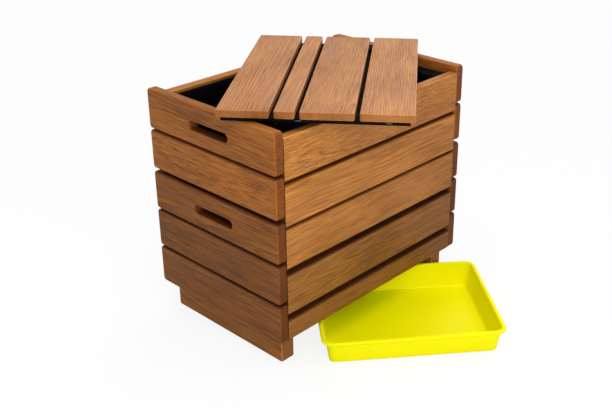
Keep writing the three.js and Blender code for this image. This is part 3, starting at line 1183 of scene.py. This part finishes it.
def liner_staples(cloth, metal):
    for module in MODULES:
        low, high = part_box(f"{module}_liner")
        for side, sign, face in (("front", 1, low.y), ("back", -1, high.y)):
            y = face + sign * (cloth.thickness + FIT_GAP)
            for index, x in enumerate(LINER_STAPLES, 1):
                spot = (x + (low.x + high.x) / 2, y, high.z - LINER_STAPLE_DROP)
                placement = axes_at(spot, (-sign, 0, 0), (0, 0, 1), (0, sign, 0))
                name = f"{module}_liner_staple_{side}_{index}"
                staple = staple_mesh(cloth.staple, cloth.wire)
                fasten(name, staple, metal, placement, f"{module}_module")


def floor_screws(radius, metal):
    for module in MODULES:
        for slat in range(1, FLOOR_SLATS + 1):
            low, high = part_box(f"{module}_floor_slat_{slat}")
            x, z = (low.x + high.x) / 2, high.z + SCREW_RISE
            for side in SIDES:
                ledger, _ = node_middle(f"{module}_ledger_{side}")
                placement = turned_at(x, ledger.y, z, slat * SCREW_TURN)
                name = f"{module}_floor_screw_{side}_{slat}"
                fasten(name, screw_mesh(radius), metal, placement, f"{module}_module")


class WORMERY_OT_fastenings(bpy.types.Operator):
    """Drives the staples of the liners and the lid's sheet, and the screws of the floors"""

    bl_idname = "wormery.fastenings"
    bl_label = "Staples and screws"
    bl_options = {"REGISTER", "UNDO"}

    def execute(self, context):
        settings = context.scene.wormery
        bare = finish("bare_steel", metal_finish, settings.cloth.wire_colour)
        black = finish("black_steel", metal_finish, settings.cloth.black_colour)
        lid_staples(settings, bare)
        liner_staples(settings.cloth, black)
        floor_screws(settings.boards.screw_head, bare)
        return {"FINISHED"}


def lay_floor(stage):
    """A wide floor, seen nearly as plain white, with the object's shadow on it."""
    reach = stage.floor_reach
    corners = [(-reach, -reach, 0), (reach, -reach, 0), (reach, reach, 0), (-reach, reach, 0)]
    mesh = bpy.data.meshes.new("floor")
    mesh.from_pydata(corners, [], [(0, 1, 2, 3)])
    material, nodes = finish_nodes("pale_floor")
    matt = nodes.node("ShaderNodeBsdfDiffuse", sockets={"Color": opaque(stage.floor_colour)})
    bright = nodes.node("ShaderNodeEmission", sockets={"Color": WHITE, "Strength": 1.0})
    share = nodes.node("ShaderNodeLightPath", output="Is Camera Ray") * stage.floor_share
    mixed = nodes.node("ShaderNodeMixShader", sockets={0: share, 1: matt, 2: bright})
    nodes.node("ShaderNodeOutputMaterial", sockets={"Surface": mixed})
    add_object("floor", mesh, material)


def light_world(stage):
    """White where it is seen, straight, in gloss or through glass; everywhere else the fill."""
    world = bpy.data.worlds.new("studio")
    world.use_nodes = True
    bpy.context.scene.world = world
    nodes = Nodes(world.node_tree)
    rays = nodes.node("ShaderNodeLightPath", output="Is Camera Ray")
    outputs = rays.socket.node.outputs
    seen = rays.math("MAXIMUM", Wire(nodes, outputs["Is Glossy Ray"]))
    seen = seen.math("MAXIMUM", Wire(nodes, outputs["Is Transmission Ray"]))
    fill, white = (
        nodes.node("ShaderNodeBackground", sockets={"Color": WHITE, "Strength": strength})
        for strength in (stage.fill, 1.0)
    )
    mixed = nodes.node("ShaderNodeMixShader", sockets={0: seen, 1: fill, 2: white})
    nodes.node("ShaderNodeOutputWorld", sockets={"Surface": mixed})


def add_lamp(name, kind, strength, way):
    """A lamp that shines from the given direction."""
    lamp = bpy.data.lights.new(name, kind)
    lamp.energy = strength
    holder = bpy.data.objects.new(name, lamp)
    holder.rotation_mode = "QUATERNION"
    holder.rotation_quaternion = Vector(way).to_track_quat("Z", "Y")
    bpy.context.scene.collection.objects.link(holder)
    return holder


def add_lamps(stage):
    corner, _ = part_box("upper_end_slat_left_1")
    way = Vector(stage.key_way).normalized()
    key = add_lamp("key_lamp", "AREA", stage.key, way)
    key.data.size = stage.key_size
    key.location = corner + way * stage.key_reach
    key.visible_camera = False
    add_lamp("top_lamp", "SUN", stage.top, stage.top_way).data.angle = stage.top_spread
    add_lamp("side_lamp", "SUN", stage.side, stage.side_way).data.angle = stage.side_spread


def aim_camera(stage):
    """The photograph's camera: its lens points at a pixel that isn't the middle one."""
    cos_e, sin_e = math.cos(stage.elevation), math.sin(stage.elevation)
    back = Vector((math.sin(stage.azimuth) * cos_e, -math.cos(stage.azimuth) * cos_e, sin_e))
    right = Vector((0, 0, 1)).cross(back).normalized()
    up = back.cross(right)
    cos_r, sin_r = math.cos(stage.roll), math.sin(stage.roll)
    lens = bpy.data.cameras.new("camera")
    lens.sensor_width = SENSOR_WIDTH
    lens.lens = stage.focal / PHOTO_WIDTH * SENSOR_WIDTH
    lens.shift_x = (PHOTO_WIDTH / 2 - stage.middle_x) / PHOTO_WIDTH
    lens.shift_y = (stage.middle_y - PHOTO_HEIGHT / 2) / PHOTO_WIDTH
    camera = bpy.data.objects.new("camera", lens)
    camera.matrix_world = axes_at(
        Vector(stage.place), right * cos_r + up * sin_r, up * cos_r - right * sin_r, back
    )
    bpy.context.scene.collection.objects.link(camera)
    bpy.context.scene.camera = camera


class WORMERY_OT_stage(bpy.types.Operator):
    """Sets the floor, the studio light and the camera"""

    bl_idname = "wormery.stage"
    bl_label = "Stage"
    bl_options = {"REGISTER", "UNDO"}

    def execute(self, context):
        stage = context.scene.wormery.stage
        lay_floor(stage)
        light_world(stage)
        add_lamps(stage)
        aim_camera(stage)
        context.scene.view_settings.view_transform = "Standard"
        return {"FINISHED"}


class WORMERY_PT_panel(bpy.types.Panel):
    """Lists the pieces of the wormery and their settings"""

    bl_idname = "WORMERY_PT_panel"
    bl_label = "Wormery"
    bl_space_type = "VIEW_3D"
    bl_region_type = "UI"
    bl_category = "Wormery"

    def draw(self, context):
        for operator in OPERATORS:
            self.layout.operator(operator.bl_idname)
        for part in ("boards", "wood", "cloth", "tray", "stage"):
            group = getattr(context.scene.wormery, part)
            box = self.layout.box()
            for name in group.bl_rna.properties.keys():
                if name not in ("name", "rna_type"):
                    box.prop(group, name)


OPERATORS = (
    WORMERY_OT_end_slats,
    WORMERY_OT_long_slats,
    WORMERY_OT_plinth,
    WORMERY_OT_frame_timbers,
    WORMERY_OT_lid_slats,
    WORMERY_OT_lid_sheet,
    WORMERY_OT_liners,
    WORMERY_OT_tray,
    WORMERY_OT_fastenings,
    WORMERY_OT_stage,
)
GROUPS = (BoardSettings, WoodSettings, ClothSettings, TraySettings, StageSettings, WormerySettings)
CLASSES = GROUPS + OPERATORS + (WORMERY_PT_panel,)


def register():
    for kind in CLASSES:
        bpy.utils.register_class(kind)
    bpy.types.Scene.wormery = bpy.props.PointerProperty(type=WormerySettings)


def unregister():
    del bpy.types.Scene.wormery
    for kind in reversed(CLASSES):
        bpy.utils.unregister_class(kind)


def main():
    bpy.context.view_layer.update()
    register()
    for operator in OPERATORS:
        group, name = operator.bl_idname.split(".")
        getattr(getattr(bpy.ops, group), name)()


if __name__ == "__main__":
    main()
